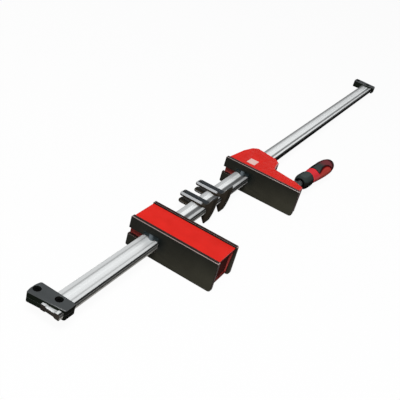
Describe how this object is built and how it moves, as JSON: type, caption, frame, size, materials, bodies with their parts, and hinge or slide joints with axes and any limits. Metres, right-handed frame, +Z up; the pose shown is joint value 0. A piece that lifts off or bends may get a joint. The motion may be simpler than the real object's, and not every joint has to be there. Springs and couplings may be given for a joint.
{
  "type": "parallel clamp",
  "caption": "Parallel bar clamp: fixed and sliding jaw on a flat grooved rail, screw spindle with two-part handle, capped rail ends and rail clips.",
  "frame": {"origin": "centre of the footprint of the clamp lying on its side, on the bench under it", "axes": "+X along the rail from the fixed jaw to the handle, -Y into the throat towards the jaw tips, +Z up"},
  "size_m": [1.3, 0.1494, 0.051],
  "materials": {
    "rail_steel": "bright zinc plated, drawn",
    "cap_plastic": "moulded, fine grain",
    "screw_steel": "black oxide",
    "jaw_plastic": "glass filled, satin",
    "cast_core": "as cast",
    "hard_steel": "hardened, ground",
    "spring_steel": "rolled",
    "pad_plastic": "smooth, satin",
    "clip_plastic": "moulded, satin",
    "label_film": "printed film, left blank",
    "arm_steel": "black, semi matt",
    "spindle_steel": "rolled thread, burnished",
    "collar_plastic": "ribbed, satin",
    "handle_plastic": "satin gloss",
    "grip_rubber": "soft grip"
  },
  "bodies": {
    "rail": {"rail_bar": "rail_steel", "near_cap_upper": "cap_plastic", "near_cap_lower": "cap_plastic", "near_cap_screws": "screw_steel", "far_cap_upper": "cap_plastic", "far_cap_lower": "cap_plastic", "far_cap_screws": "screw_steel"},
    "fixed_jaw": {"fixed_jaw_housing": "jaw_plastic", "fixed_jaw_core": "cast_core", "fixed_jaw_grip_plates": "hard_steel", "fixed_jaw_spring": "spring_steel", "fixed_jaw_outer_pad": "pad_plastic", "fixed_jaw_inner_pad": "pad_plastic"},
    "clip_front_body": {"clip_front": "clip_plastic"},
    "clip_rear_body": {"clip_rear": "clip_plastic"},
    "movable_jaw": {"movable_jaw_housing": "jaw_plastic", "movable_jaw_core": "hard_steel", "movable_jaw_pad": "pad_plastic", "thrust_cup": "hard_steel", "spindle_retainer": "spring_steel", "label_plate": "label_film"},
    "sliding_arm_body": {"sliding_arm": "arm_steel", "spindle_nut": "hard_steel", "arm_grip_pins": "hard_steel", "arm_spring": "spring_steel"},
    "spindle_and_handle": {"spindle": "spindle_steel", "handle_collar": "collar_plastic", "handle_core": "handle_plastic", "handle_grip": "grip_rubber", "handle_pin": "hard_steel", "hex_insert": "hard_steel"}
  },
  "joints": [
    {"name": "fixed_jaw_slide", "type": "slide", "parent": "rail", "child": "fixed_jaw", "axis": [1, 0, 0], "range_m": [-0.18, 0.02]},
    {"name": "clip_front_slide", "type": "slide", "parent": "rail", "child": "clip_front_body", "axis": [1, 0, 0], "range_m": [-0.055, 0.005]},
    {"name": "clip_rear_slide", "type": "slide", "parent": "rail", "child": "clip_rear_body", "axis": [1, 0, 0], "range_m": [-0.027, 0.01]},
    {"name": "movable_jaw_slide", "type": "slide", "parent": "rail", "child": "movable_jaw", "axis": [1, 0, 0], "range_m": [-0.07, 0.675]},
    {"name": "spindle_turn", "type": "hinge", "parent": "movable_jaw", "child": "spindle_and_handle", "pos_m": [-0.127, -0.04375, 0.0255], "axis": [-0.9962, 0.0872, 0], "range_deg": [0, 1080]},
    {"name": "arm_advance", "type": "slide", "parent": "movable_jaw", "child": "sliding_arm_body", "axis": [0.9962, -0.0872, 0], "range_m": [0, 0.009]}
  ],
  "couplings": [
    {"joint": "spindle_turn", "follows": "arm_advance", "rad_per_m": 2094.4}
  ]
}
